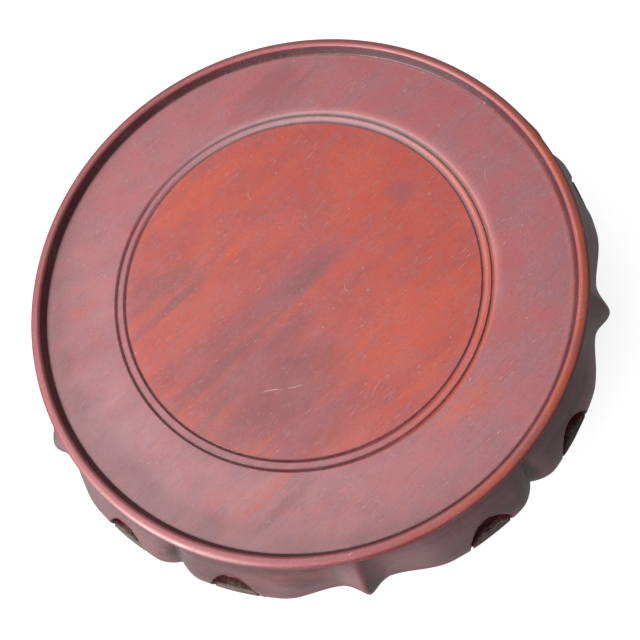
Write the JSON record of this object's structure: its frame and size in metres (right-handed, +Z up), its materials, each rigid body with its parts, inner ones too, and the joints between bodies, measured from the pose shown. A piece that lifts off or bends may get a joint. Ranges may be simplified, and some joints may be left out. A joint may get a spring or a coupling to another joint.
{
  "type": "vase stand",
  "caption": "Low round hardwood vase stand: a recessed, rimmed tray on scrolled legs and lobed aprons, tied by a base ring.",
  "frame": {"origin": "on the floor, under the middle of the tray", "axes": "+Z up through the middle of the tray; one leg points along -Y"},
  "size_m": [0.2674, 0.2678, 0.092],
  "materials": {
    "tray_wood": "worn satin wax",
    "carved_wood": "satin wax",
    "hidden_wood": "planed, unpolished",
    "bamboo": "split bamboo, raw"
  },
  "bodies": {
    "root": {"tray_top": "tray_wood", "batten_1": "hidden_wood", "batten_2": "hidden_wood", "leg_1": "carved_wood", "leg_2": "carved_wood", "leg_3": "carved_wood", "leg_4": "carved_wood", "leg_5": "carved_wood", "apron_1": "carved_wood", "apron_2": "carved_wood", "apron_3": "carved_wood", "apron_4": "carved_wood", "apron_5": "carved_wood", "base_ring_1": "carved_wood", "base_ring_2": "carved_wood", "base_ring_3": "carved_wood", "base_ring_4": "carved_wood", "base_ring_5": "carved_wood", "foot_pad_1": "carved_wood", "foot_pad_2": "carved_wood", "foot_pad_3": "carved_wood", "foot_pad_4": "carved_wood", "foot_pad_5": "carved_wood", "pin_1_left": "bamboo", "pin_1_right": "bamboo", "pin_2_left": "bamboo", "pin_2_right": "bamboo", "pin_3_left": "bamboo", "pin_3_right": "bamboo", "pin_4_left": "bamboo", "pin_4_right": "bamboo", "pin_5_left": "bamboo", "pin_5_right": "bamboo"}
  },
  "joints": []
}
